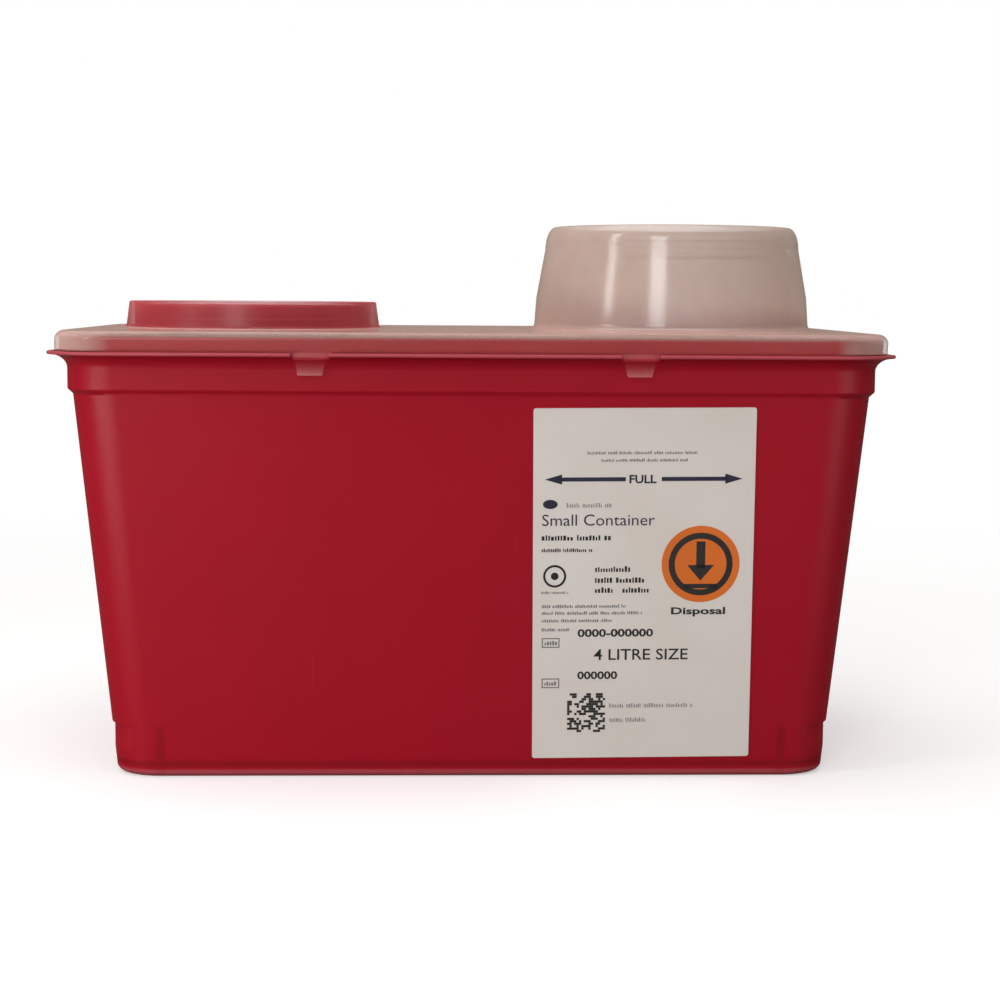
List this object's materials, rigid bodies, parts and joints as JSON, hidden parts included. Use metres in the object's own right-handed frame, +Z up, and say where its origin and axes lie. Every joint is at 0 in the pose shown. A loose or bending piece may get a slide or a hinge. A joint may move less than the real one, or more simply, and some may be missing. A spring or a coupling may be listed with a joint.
{
  "type": "sharps container",
  "caption": "Small red tapered bin for used needles with a natural clip-on lid, an open round chimney, a closure cap kept in a collar on the lid, and a front label.",
  "frame": {"origin": "middle of the resting face, at the bottom centre of the bounding box", "axes": "+X along the length towards the chimney, +Y to the back (the label faces -Y), +Z up"},
  "size_m": [0.264, 0.152, 0.1746],
  "materials": {
    "red_plastic": "moulded polypropylene, satin, slightly translucent",
    "natural_plastic": "natural polypropylene, satin, milky translucent",
    "cap_plastic": "moulded polypropylene, satin",
    "label_paper": "printed coated paper, satin"
  },
  "bodies": {
    "tub_body": {"tub": "red_plastic", "front_label": "label_paper"},
    "lid_body": {"lid": "natural_plastic"},
    "cap_body": {"closure_cap": "cap_plastic"}
  },
  "joints": [
    {"name": "lid_lift", "type": "slide", "parent": "tub_body", "child": "lid_body", "axis": [0, 0, 1], "range_m": [0, 0.06]},
    {"name": "cap_lift", "type": "slide", "parent": "lid_body", "child": "cap_body", "axis": [0, 0, 1], "range_m": [0, 0.05]}
  ]
}
